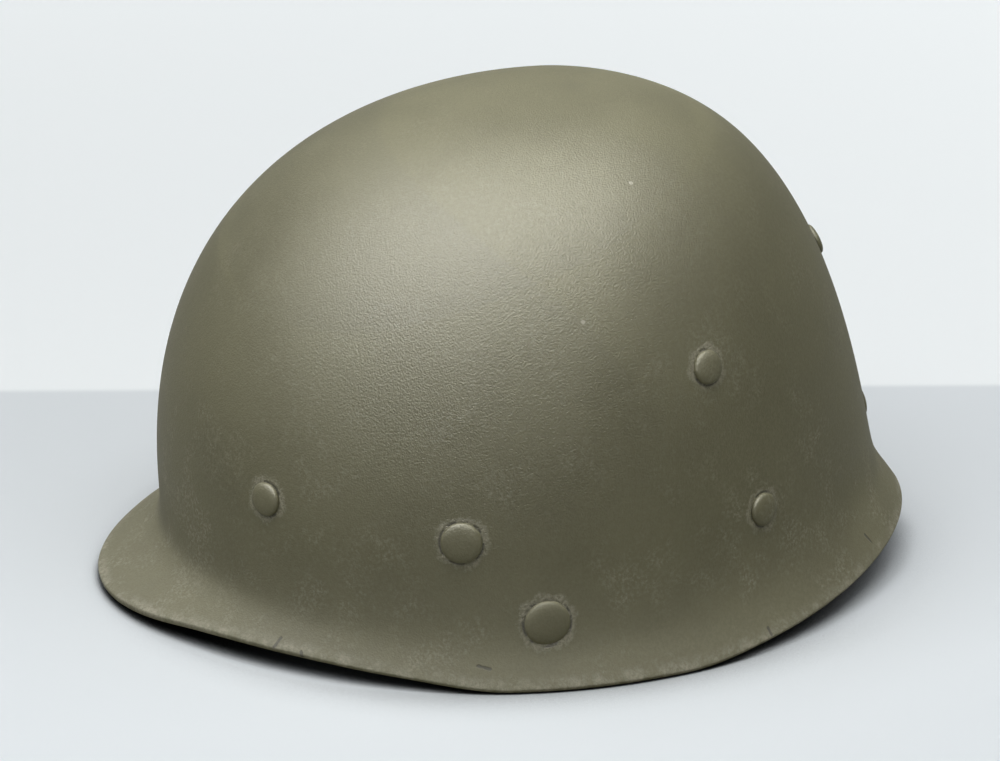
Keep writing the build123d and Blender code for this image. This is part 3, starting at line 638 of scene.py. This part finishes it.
def paint_shell():
    """Paint on the laminate, worn at rivets and rim, and bare cloth inside."""
    look = Finish("painted_fibre")
    tone, worn, rough, relief, speck = coat(look)
    ring, crack = rivet_wear(look, speck)
    worn = look.math("MAXIMUM", worn, look.times(ring, 0.62))
    shake = look.math("MULTIPLY_ADD", look.noise(0.0012, 2.0), 0.0006, -0.0003)
    for start, end in splits:
        line = look.math("ADD", split_distance(look, start, end), shake)
        crack = look.math("MAXIMUM", crack, look.step(line, 0.0007, 0.0003))
    for point in pale_specks:
        worn = look.math("MAXIMUM", worn, look.step(look.near(point), 0.0009, 0.0004))
    away, within = look.surface()
    chipped = look.step(look.noise(0.007, 5.0, 0.7), 0.4, 0.66, 0.1, 0.75)
    edge = look.times(look.step(away, 5.0, 0.3), chipped)
    edge = look.times(edge, look.step(speck, 0.3, 0.6, 0.4, 1.0))
    colour = look.mix(look.math("MAXIMUM", worn, edge), tone, olive_pale)
    colour = look.mix(look.times(crack, 0.7), colour, crack_tone)
    relief = look.bump(look.math("SUBTRACT", ring, crack), 0.0003, 0.5, relief)
    cloth = canvas(look)
    within = look.step(within, 0.7, 1.0)
    colour = look.mix(within, colour, look.mix(cloth, resin_dark, resin_light))
    rough = look.math("MAXIMUM", rough, look.times(within, 0.62))
    relief = look.bump(look.times(cloth, within), 0.0003, 0.5, relief)
    return look.use(Base_Color=colour, Roughness=rough, Normal=relief)


make_shell(paint_shell())

# %% [markdown]
# ## Rivets and press stud caps
# Each head is a low dome with a soft edge, painted with the shell, and its inner end is spread over
# a washer. A turned piece is a profile swept round its axis.

# %% Turned heads
def turned_profile(radius, rise, shank, length, end_radius, end_thickness):
    """Half outline from the head's top to the inner end, with a softly rolled edge."""
    roll = np.linspace(0, math.pi / 2, 24)[1:]
    head_r, head_z = radius * np.sin(roll) ** 0.86, rise * np.cos(roll) ** 0.62
    end_r = [end_radius - 0.4, end_radius, end_radius, end_radius - 0.3, 0.4]
    end_z = -length - np.array([0, 0.3, 0.7, 1.0, 1.0]) * end_thickness
    radii = np.concatenate([head_r, [radius - 0.5, shank, shank], end_r])
    return radii, np.concatenate([head_z, [-0.1, -0.1, 0.2 - length], end_z])


cap_paint = paint_caps()
for name, node, seats, sizes in heads:
    radii, heights = (values[:, None, None] for values in turned_profile(*sizes))
    turns = round_turns(56)[:, None]
    shape = Shape()
    for seat in seats:
        ring = np.cos(turns) * seat.level + np.sin(turns) * seat.up
        shape.grid(seat.at + radii * ring + heights * seat.out, close_columns=True, poles=True)
    shape.make(name, cap_paint, "painted_rivet", [node])

# %% [markdown]
# ## Straps along a path
# Webbing and leather straps are flat ribbons with soft edges. An extruded curve's twist is hard to
# steer, so each strap is a grid: the outline of its cut end, carried along a path whose outward way
# is known. The map keeps the length and the place across, so the weave follows each bend.

# %% Strap helpers
def strap_outline(width, thickness):
    """Cut end as (across, outward) rows: small powers of cos and sin, so nearly flat."""
    turn = round_turns(28)
    across = signed_power(np.cos(turn), 0.2) * width / 2
    return np.stack([across, signed_power(np.sin(turn), 0.6) * thickness / 2], -1)


def sampled(values, length, wanted):
    """Rows of values read off at wanted lengths."""
    return np.stack([np.interp(wanted, length, column) for column in values.T], -1)


def resampled(path, count):
    """Points an even distance apart along a polyline."""
    length = run_length(path)
    return sampled(path, length, np.linspace(0, length[-1], count))


def filleted(corners, radius, steps=14):
    """Straight runs joined by arcs that end radius / tan(half the angle) from a corner."""
    corners = np.asarray(corners, float)
    path = [corners[:1]]
    for before, corner, after in zip(corners, corners[1:], corners[2:]):
        one, two = unit(before - corner), unit(after - corner)
        half = math.acos(np.clip(np.dot(one, two), -1, 1)) / 2
        centre = corner + unit(one + two) * radius / math.sin(half)
        start, end = (corner + way * radius / math.tan(half) - centre for way in (one, two))
        turn = math.pi - 2 * half
        share = np.linspace(0, 1, steps)[:, None]
        swing = start * np.sin((1 - share) * turn) + end * np.sin(share * turn)
        path.append(centre + swing / math.sin(turn))
    return np.concatenate(path + [corners[-1:]])


def headings(path, closed=False):
    """The way ahead at each point of a path."""
    return unit(np.roll(path, -1, 0) - np.roll(path, 1, 0) if closed else np.gradient(path, axis=0))


def lay(shape, grid, across, closed):
    """Adds a strap's grid, mapped by length along its middle and place across."""
    maps = np.stack(np.broadcast_arrays(run_length(grid.mean(0)), across[:, None]), -1)
    return shape.grid(grid, maps, close_rows=True, close_columns=closed, caps=not closed)


def ribbon(path, across_way, width, thickness, closed=False):
    """A strap: its outline at each path point, across its way and out from it."""
    out = unit(np.cross(across_way, headings(path, closed)))
    outline = strap_outline(width, thickness)
    grid = path + outline[:, :1, None] * across_way + outline[:, 1:, None] * out
    return lay(Shape(), grid, outline[:, 0], closed)


def band(line, depth, level, width, thickness, closed=False):
    """A strap whose line is known at every depth and level under the skin."""
    outline = strap_outline(width, thickness)
    rows = [line(depth + thickness / 2 - outward, level + across) for across, outward in outline]
    return lay(Shape(), np.stack(rows), outline[:, 0], closed)


def tube(shape, path, radius, closed=False):
    """Adds a round cord along a path, its rings square to the way ahead."""
    ahead = headings(path, closed)
    side = unit(np.cross(ahead, (0.02, 0.05, 1.0)))
    turn = round_turns(14)[:, None, None]
    ring = np.cos(turn) * side + np.sin(turn) * np.cross(side, ahead)
    grid = path + np.reshape(radius, (-1, 1)) * ring
    return lay(shape, grid, turn[:, 0, 0] * np.max(radius), closed)


def stitches(shape, path, out, pitch, length, radius):
    """Adds a row of short raised threads: half sine arches with six sides."""
    run = run_length(path)
    share = np.linspace(0, 1, 5)
    wanted = np.arange(pitch, run[-1] - pitch, pitch)[:, None] + share * length
    lift = radius * (1.5 * np.sin(share * math.pi) - 0.4)
    at, up = sampled(path, run, wanted), unit(sampled(out, run, wanted))
    side = unit(np.cross(np.gradient(at, axis=1), up))
    turn = round_turns(6)[:, None]
    ring = np.cos(turn) * side[:, :, None] + np.sin(turn) * up[:, :, None]
    for grid in (at + up * lift[:, None])[:, :, None] + radius * ring:
        shape.grid(grid.transpose(1, 0, 2), close_rows=True, caps=True)


# %% [markdown]
# ## Web, lace and leather finishes
# The webbing is cotton in a herringbone weave: slanting ribs that turn back every few millimetres.
# A picture of cloth would repeat and blur. A sine of the length plus a zigzag of the place across
# gives relief and colour at the thread's own size.

# %% Soft finishes
def web_finish(name, rib=1.3, turn_back=3.2):
    """Herringbone cotton: ribs sin(2 pi (u + zigzag(v)) / rib), faded and soiled."""
    look = Finish(name, roughness=0.88, specular=0.2)
    along, across = look.surface()
    zigzag = look.math("PINGPONG", across, turn_back)
    wave = look.math("SINE", look.times(look.math("ADD", along, zigzag), 2 * math.pi / rib))
    ribs = look.math("MULTIPLY_ADD", wave, 0.5, 0.5)
    threads = look.noise(0.0005, 2.0, 0.6)
    soil = look.noise(0.018, 4.0, 0.6)
    yarn = look.mix(ribs, (97, 92, 64), (141, 134, 100))
    yarn = look.stain(yarn, (88, 78, 53), soil, 0.45, 0.75, 0.55)
    yarn = look.stain(yarn, (168, 160, 128), threads, 0.3, 0.7, 0.22)
    relief = look.bump(threads, 0.0001, 0.5, look.bump(ribs, 0.00022, 0.8))
    look.use(Sheen_Weight=0.25, Sheen_Roughness=0.5)
    return look.use(Base_Color=yarn, Normal=relief)


def leather_finish(name, light, dark, edge_at):
    """Leather: pebbled grain, pores, a darkened cut edge and soft creases."""
    look = Finish(name, specular=0.4)
    edge = look.math("ABSOLUTE", look.surface()[1])
    grain = look.add("TexVoronoi", {"Vector": look.place, "Scale": 900.0}, feature="SMOOTH_F1")
    pores = look.noise(0.0009, 3.0, 0.6)
    age = look.noise(0.02, 4.0, 0.6)
    colour = look.stain(dark, light, age, 0.3, 0.72)
    colour = look.stain(colour, (52, 34, 22), edge, edge_at - 1.3, edge_at - 0.2, 0.75)
    colour = look.stain(colour, (60, 40, 26), pores, 0.6, 0.72, 0.4)
    crease = look.step(look.noise(0.006, 2.0, 0.5, 1.2), 0.46, 0.5)
    relief = look.bump(crease, 0.00015, 0.25, look.bump(grain, 0.00012, 0.6))
    rough = look.step(age, 0.3, 0.7, 0.62, 0.45)
    return look.use(Base_Color=colour, Roughness=rough, Normal=relief)


def cord_finish(name):
    """Braided cotton lace: two crossing spirals of ribs round the cord."""
    look = Finish(name, roughness=0.85, specular=0.2)
    along, around = look.surface()
    slants = look.times(along, 2.6), look.times(around, 2.0)
    braid = look.times(*(look.math("SINE", look.math(way, *slants)) for way in ("ADD", "SUBTRACT")))
    yarn = look.stain((84, 79, 55), (138, 131, 98), braid, -1.0, 1.0)
    yarn = look.stain(yarn, (80, 72, 50), look.noise(0.012, 3.0), 0.45, 0.7, 0.5)
    return look.use(Base_Color=yarn, Normal=look.bump(braid, 0.0002, 0.7))


web = web_finish("cotton_web")
lace_cotton = cord_finish("lace_cord")
tan_leather = leather_finish("sweatband_leather", (150, 106, 66), (112, 74, 44), 18.0)
brown_leather = leather_finish("strap_leather", (110, 72, 44), (78, 50, 32), 6.5)
thread = web_finish("sewing_thread", rib=0.7, turn_back=40.0)

# %% [markdown]
# ## Headband and sweatband
# The web headband is riveted flat at five places and bows clear of the wall between them, so that
# it fits heads of several shapes. Its line is worked out at any depth and level from the rivets,
# tilt and bows of the frame: a straight tab at each rivet, and an arc from tab to tab. The leather
# sweatband follows it inside on a smooth closed curve.

# %% Bands
band_origin, band_up = np.array([0, shell_advance, 80.1]), unit((0, -0.27, 1))
band_width, band_tab, band_bows = 25.0, 10.0, (6.0, 5.5, 5.5, 6.0, 8.0)
layer_gap, clip_gap, clip_thickness, leather = 0.3, 0.5, 0.6, 1.8
sweat_middle, sweat_width, seam_apart, sweat_thread = -9.0, 36.0, 29.0, (4.2, 3.0, 0.34)
sweat_depth = clinch_depth + clinch + 2 * layer_gap
bow_sweat_depth = head_depth + web_thickness + 2 * clip_gap + clip_thickness


def crossing(seat, origin, up, level, depth):
    """Where a band at a depth under a seat crosses a level, and its way there."""
    start = seat.at - seat.out * depth
    rise = level - np.dot(start - origin, up)
    return start + seat.up * (rise / np.dot(seat.up, up)), unit(np.cross(up, seat.out))


def tabs(depth, level, half):
    """Ends of the five flat tabs, from front left round the back to front right."""
    found = []
    for seat in (front_seat, side_seat, back_seat):
        at, way = crossing(seat, band_origin, band_up, level, depth)
        found.append((at - way * half, at + way * half))
    return found + [(end * flip_x, start * flip_x) for start, end in found[1::-1]]


def bow(count, depth, level):
    """Chord of one bow, and the bow's middle at a depth."""
    ends = tabs(head_depth, level, band_tab)
    start, end = ends[count][1], ends[(count + 1) % 5][0]
    out = unit(np.cross(end - start, band_up))
    return start, end, (start + end) / 2 + out * (band_bows[count] - depth + head_depth)


def arc(start, middle, end, steps):
    """Circle arc through three points: radius from the chord and the arch's height."""
    chord, arch = end - start, middle - (start + end) / 2
    high = np.linalg.norm(arch)
    radius = (np.dot(chord, chord) / 4 + high**2) / (2 * high)
    half = math.asin(min(np.linalg.norm(chord) / 2 / radius, 1))
    turn = np.linspace(-half, half, steps)[:, None]
    return middle + unit(arch) * radius * (np.cos(turn) - 1) + unit(chord) * radius * np.sin(turn)


def headband_line(depth, level):
    """Closed line of the web headband."""
    ends = tabs(depth, level, band_tab)
    share = np.linspace(0, 1, 8, endpoint=False)[:, None]
    runs = []
    for count, (start, end) in enumerate(ends):
        runs.append(start + (end - start) * share)
        runs.append(arc(end, bow(count, depth, level)[2], ends[(count + 1) % 5][0], 45)[:-1])
    return np.concatenate(runs)


def sweatband_line(depth, level):
    """Closed smooth line through tabs and bows, in cubic pieces."""
    bow_depth = depth - sweat_depth + bow_sweat_depth
    points, ways = [], []
    for count, (start, end) in enumerate(tabs(depth, level, 0.01)):
        chord_start, chord_end, middle = bow(count, bow_depth, level)
        points += [(start + end) / 2, middle]
        ways += [unit(end - start), unit(chord_end - chord_start)]
    share = np.linspace(0, 1, 26, endpoint=False)[:, None]
    runs = []
    for start, end, way, end_way in zip(points, points[1:] + points[:1], ways, ways[1:] + ways[:1]):
        pull = np.linalg.norm(end - start)
        runs.append(cubic(share, start, end, way * pull, end_way * pull))
    return np.concatenate(runs)


headband = band(headband_line, head_depth, 0.0, band_width, web_thickness, closed=True)
headband.make("web_headband", web, "cotton_web", ["headband"])
sweatband = band(sweatband_line, sweat_depth, sweat_middle, sweat_width, leather, closed=True)
sweatband.make("leather_sweatband", tan_leather, "sweatband_leather", ["sweatband"])

seam = Shape()
for level in (sweat_middle + seam_apart / 2, sweat_middle - seam_apart / 2):
    for depth, side in ((sweat_depth, 1), (sweat_depth + leather, -1)):
        line = sweatband_line(depth, level)
        line = np.concatenate([line, line[:1]])
        stitches(seam, line, unit(np.cross(headings(line), band_up)) * side, *sweat_thread)
seam.make("sweatband_stitching", thread, "sweatband_leather")

# %% [markdown]
# ## Crown straps and lace
# Five straps rise from the rivets and lean over to a ring of lace that sets how deep the head sits.
# Each turns round the lace and is sewn back on itself. In a strap's own side view its path is
# straight runs with two bends, then a small circle round the lace.

# %% Crown straps
strap_width, strap_drop, strap_stand, knee_share, bend_radius = 19.0, 8.0, 24.0, 0.52, 17.0
ring_height, ring_radius = crown_height - 28.0, 30.0
lace_radius, lace_clearance = 1.5, 0.4
ring_centre = np.array([0.0, shell_advance - 3.8, 0.0])
loop_radius = lace_radius + lace_clearance + web_thickness / 2
tail_bend, tail_flat, tail_end = 5.2, 7.5, 17.0
seam_backs, seam_half, strap_thread = (7.5, 13.0), 8.5, (2.6, 2.0, 0.3)


def crown_strap(name, seat):
    """One strap: up the wall, over the knee, round the lace and sewn on itself."""
    inward = -unit(seat.out[:2])
    middle = seat.at - seat.out * (head_depth + 1.5 * web_thickness)
    start = np.array([np.dot((middle - seat.at)[:2], inward), middle[2]])
    climb = unit([np.dot(seat.up[:2], inward), seat.up[2]])
    run = np.dot((ring_centre - seat.at)[:2], inward) - ring_radius
    stand = start + climb * strap_stand
    knee = np.array([stand[0] + (run - stand[0]) * knee_share, ring_height])
    path = filleted([start - climb * strap_drop, stand, knee, (run, ring_height)], bend_radius)
    turn = np.radians(np.linspace(80, -160, 26))
    loop = loop_radius * np.stack([np.cos(turn), np.sin(turn)], -1)
    loop = loop + (run, ring_height - loop_radius)
    under = ring_height - web_thickness * 1.06
    tail = [[run - tail_bend, under - 0.7], [run - tail_flat, under], [run - tail_end, under]]
    path = resampled(np.concatenate([path, loop, tail]), 150)
    across = np.array([inward[1], -inward[0], 0.0])
    path = np.column_stack([seat.at[:2] + path[:, :1] * inward, path[:, 1]])
    shape = ribbon(path, across, strap_width, web_thickness)
    shape.make("web_crown_strap_" + name, web, "cotton_web", ["crown_strap_" + name])
    for back_by in seam_backs:
        place = (*(seat.at[:2] + inward * (run - back_by)), ring_height + web_thickness / 2)
        line = place + np.linspace(-seam_half, seam_half, 20)[:, None] * across
        stitches(strap_seam, line, np.broadcast_to((0.0, 0.0, 1.0), line.shape), *strap_thread)


strap_seam = Shape()
for name, seat in (("front", front_seat), ("side", side_seat)):
    crown_strap(name + "_left", seat)
    crown_strap(name + "_right", seat.mirrored())
crown_strap("back", back_seat)
strap_seam.make("crown_strap_stitching", thread, "cotton_web")

# %% [markdown]
# The lace is one closed ring, straight inside each of the five loops and turned between them. Its
# knot in front is two close turns of the same cord, with two tails.

# %% Lace
lace_level, lace_bend = ring_height - loop_radius, 5.0
knot_radius, knot_pitch, knot_cord, knot_turns = 2.1, 0.34, 1.35, 2.1
tail_reach, tail_droop, tail_cords = (6.5, -13.0, 0.0), (0.0, 0.0, -6.5), (1.45, 1.45, 1.1, 1.1)
ways = [unit(seat.out[:2]) for seat in (front_seat, side_seat, back_seat)]
ways += [ways[1] * (-1, 1), ways[0] * (-1, 1)]
corners = []
for one, two in zip(ways, ways[1:] + ways[:1]):
    size = ring_radius / (one[0] * two[1] - one[1] * two[0])
    x, y = (two[1] - one[1]) * size, ring_centre[1] + (one[0] - two[0]) * size
    corners.append(np.array([x, y, lace_level]))
start = (corners[-1] + corners[0]) / 2
around = filleted([start, *corners, start], lace_bend)
lace = tube(Shape(), resampled(around, 240)[:-1], lace_radius, closed=True)
knot = np.array([0.0, corners[-1][1] + 2.6, lace_level])
turn = np.linspace(-knot_turns * math.pi, knot_turns * math.pi, 70)
coil = [knot_radius * np.cos(turn), turn * knot_pitch - 0.2, knot_radius * np.sin(turn)]
tube(lace, knot + np.stack(coil, -1), knot_cord)
share = np.linspace(0, 1, 24)[:, None]
for side in (-1, 1):
    tail = np.multiply(tail_reach, (side, 1, 1)) * share + np.array(tail_droop) * share**1.6
    tube(lace, knot + tail, np.interp(share[:, 0], (0, 0.8, 0.84, 1), tail_cords))
lace.make("knotted_crown_lace", lace_cotton, "lace_cord", ["crown_lace"])

# %% [markdown]
# ## Nape strap
# Three short webs cross the back of the neck. The two side webs lie under the middle one, and a
# slide buckle grips both where they overlap.

# %% Nape webs
nape_origin, nape_up = np.array([0, 0, nape_height]), np.array([0, 0, 1.0])
nape_width, nape_tab, nape_layer, nape_bend = 20.0, 9.5, web_thickness + layer_gap, 12.0


def nape_ends(depth, level):
    """Ends of the side tab, and the facing end of the back tab."""
    side, side_way = crossing(nape_seat, nape_origin, nape_up, level, depth)
    back, back_way = crossing(nape_back_seat, nape_origin, nape_up, level, depth)
    return side - side_way * nape_tab, side + side_way * nape_tab, back - back_way * nape_tab


def nape_centre_line(depth, level):
    """Middle web: from its left end past the back rivet to its right end."""
    back, side = nape_ends(depth, level)[2], nape_ends(depth + nape_layer, level)[1]
    left = [back + (side - back) * 0.62, back]
    return resampled(filleted(left + [point * flip_x for point in left[::-1]], nape_bend), 90)


def nape_left_line(depth, level):
    """Left web: from its rivet tab to its free end under the middle web."""
    start, side, _ = nape_ends(depth, level)
    back = nape_ends(depth - nape_layer, level)[2]
    return resampled(filleted([start, side, side + (back - side) * 0.6], nape_bend), 60)


nape_lines = {"centre": nape_centre_line, "left": nape_left_line}
nape_lines["right"] = lambda depth, level: nape_left_line(depth, level) * flip_x
for name, line in nape_lines.items():
    strap = band(line, head_depth, 0.0, nape_width, web_thickness)
    strap.make("web_nape_strap_" + name, web, "cotton_web", ["nape_strap_" + name])

# %% [markdown]
# ## Chinstrap
# The leather chinstrap hangs on two steel hooks and is laid back inside the rim. In its own plane
# its path is one wide arc with two straight legs that touch it. A keeper loop rides on it.

# %% Chinstrap and keeper
chin_width, chin_reach, chin_bend, table_gap = 13.0, 105.0, 84.0, 0.6
stud_gap, stud_washer, hook_gap, leg_inset, leg_setback = 0.8, 1.0, 0.4, 5.0, 11.0
chin_seam, chin_thread = 4.6, (3.6, 2.6, 0.26)
keeper_run, keeper_width, keeper_gap, keeper_bend = 38.0, 9.0, 0.3, 1.1
droop = math.asin((stud_seat.at[2] - chin_width / 2 - table_gap) / chin_reach)
chin_across = np.array([0, math.sin(droop), math.cos(droop)])
chin_back = np.array([0, math.cos(droop), -math.sin(droop)])
leg_inset += wall + stud_gap + stud_washer + hook_gap
leg_start = np.array([stud_seat.at[0] - leg_inset, leg_setback])
bend_centre = np.array([0, chin_reach - chin_bend])
span = leg_start - bend_centre
bend_turn = math.atan2(span[1], span[0]) + math.acos(chin_bend / np.linalg.norm(span))
turn = np.linspace(bend_turn, math.pi - bend_turn, 120)
bend = bend_centre + chin_bend * np.stack([np.cos(turn), np.sin(turn)], -1)


def in_chin_plane(flat):
    """Points of the chinstrap's own plane, across and back from the studs."""
    return stud_seat.at * (0, 1, 1) + flat[..., :1] * (1, 0, 0) + flat[..., 1:] * chin_back


flat_path = np.concatenate([[leg_start], bend, [leg_start * (-1, 1)]])
chin_path = in_chin_plane(resampled(flat_path, 260))
chinstrap = ribbon(chin_path, chin_across, chin_width, leather)
chinstrap.make("leather_chinstrap", brown_leather, "strap_leather", ["chinstrap"], "chinstrap")

edge_seam = Shape()
path_out = unit(np.cross(chin_across, headings(chin_path)))
for across_by in (-chin_seam, chin_seam):
    for side_out in (-path_out, path_out):
        line = chin_path + chin_across * across_by + side_out * leather / 2
        stitches(edge_seam, line[12:-12], side_out[12:-12], *chin_thread)
edge_seam.make("chinstrap_stitching", thread, "strap_leather", body="chinstrap")

leg_way = unit(bend[0] - leg_start)
keeper_at = leg_start + leg_way * keeper_run
keeper_middle = in_chin_plane(keeper_at * (-1, 1))
keeper_along = unit(in_chin_plane((keeper_at + leg_way) * (-1, 1)) - keeper_middle)
keeper_out = unit(np.cross(chin_across, keeper_along))
high, wide = (size / 2 + keeper_gap + leather / 4 for size in (leather, chin_width))
loop = [[0, high], [wide, high], [wide, -high], [-wide, -high], [-wide, high], [0, high]]
loop = resampled(filleted(loop, keeper_bend, 8), 65)[:-1]
keeper_path = keeper_middle + loop[:, :1] * chin_across + loop[:, 1:] * keeper_out
keeper = ribbon(keeper_path, keeper_along, keeper_width, leather / 2, closed=True)
keeper.make("leather_keeper", brown_leather, "strap_leather", ["chinstrap_keeper"], "chinstrap")

# %% [markdown]
# ## Metal that keeps its solids
# Washers, clips, sockets, hooks and buckles have their right shape in the frame, so only their
# finishes change: worn green enamel on the steel, and browned brass.

# %% Metal finishes
def metal_finish(name, bright, dull, worn, metallic):
    """Aged metal: a dull coat, rubbed through to brighter metal, with fine scratches."""
    look = Finish(name, metallic=metallic)
    age = look.noise(0.004, 5.0, 0.65)
    fine = look.noise(0.0006, 3.0, 0.6)
    colour = look.stain(dull, bright, age, 0.38, 0.66)
    colour = look.stain(colour, worn, fine, 0.58, 0.7, 0.6)
    rough = look.step(age, 0.35, 0.7, 0.62, 0.36)
    return look.use(Base_Color=colour, Roughness=rough, Normal=look.bump(fine, 0.00006, 0.5))


kept = {
    metal_finish("washer_steel", (84, 86, 66), (62, 64, 48), (128, 124, 108), 0.25):
        ("suspension_washers", "nape_washers", "stud_washers", "sweatband_clips"),
    metal_finish("buckle_brass", (150, 126, 78), (88, 70, 42), (190, 168, 118), 0.85):
        ("sweatband_buckle", "nape_buckle_left", "nape_buckle_right", "chinstrap_hooks",
         "chinstrap_rivets", "chinstrap_buckle"),
    metal_finish("stud_brass", (172, 148, 96), (104, 86, 54), (204, 184, 136), 0.9):
        ("snap_sockets",),
}
for material, names in kept.items():
    for name in names:
        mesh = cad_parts[name].data
        mesh.materials.clear()
        mesh.materials.append(material)
print("finished", sum(len(names) for names in kept.values()), "metal nodes")
